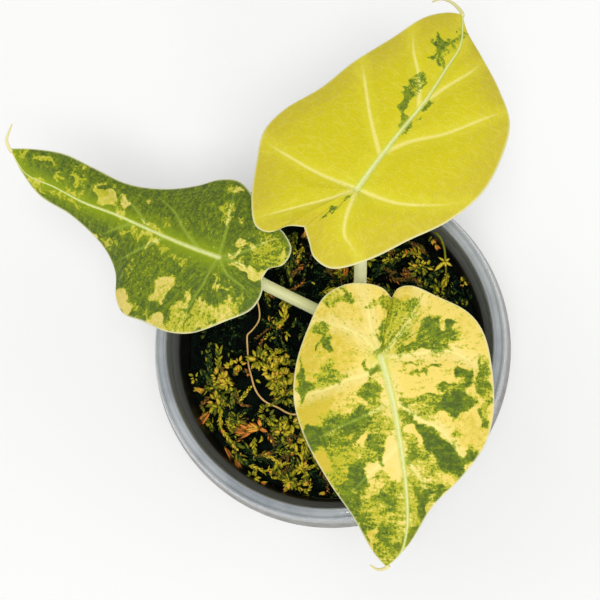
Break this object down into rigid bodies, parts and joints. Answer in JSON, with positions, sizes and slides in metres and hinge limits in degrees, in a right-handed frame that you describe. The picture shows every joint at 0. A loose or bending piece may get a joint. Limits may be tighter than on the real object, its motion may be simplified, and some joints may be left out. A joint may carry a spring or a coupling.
{
  "type": "potted variegated alocasia",
  "caption": "Small house plant with arrow-shaped variegated leaves on slim stalks, rooted in moss in a clear round nursery pot that stands on its flat base.",
  "frame": {"origin": "The middle of the pot's flat underside, on the surface that the pot stands on.", "axes": "+Z is up. Seen from above with +Y up, the front leaf points to -Y, the left leaf to -X and +Y, and the back leaf to +X and +Y."},
  "size_m": [0.1241, 0.1319, 0.1419],
  "materials": {
    "clear_plastic": "gloss",
    "moss": "matte",
    "root": "matte",
    "stalk": "satin",
    "leaf_cream": "matte",
    "leaf_green": "matte",
    "leaf_yellow": "matte"
  },
  "bodies": {
    "root": {"pot": "clear_plastic", "moss_bed": "moss", "rhizome": "root", "stalk_front": "stalk", "stalk_left": "stalk", "stalk_back": "stalk", "blade_front": "leaf_cream", "blade_left": "leaf_green", "blade_back": "leaf_yellow"}
  },
  "joints": []
}
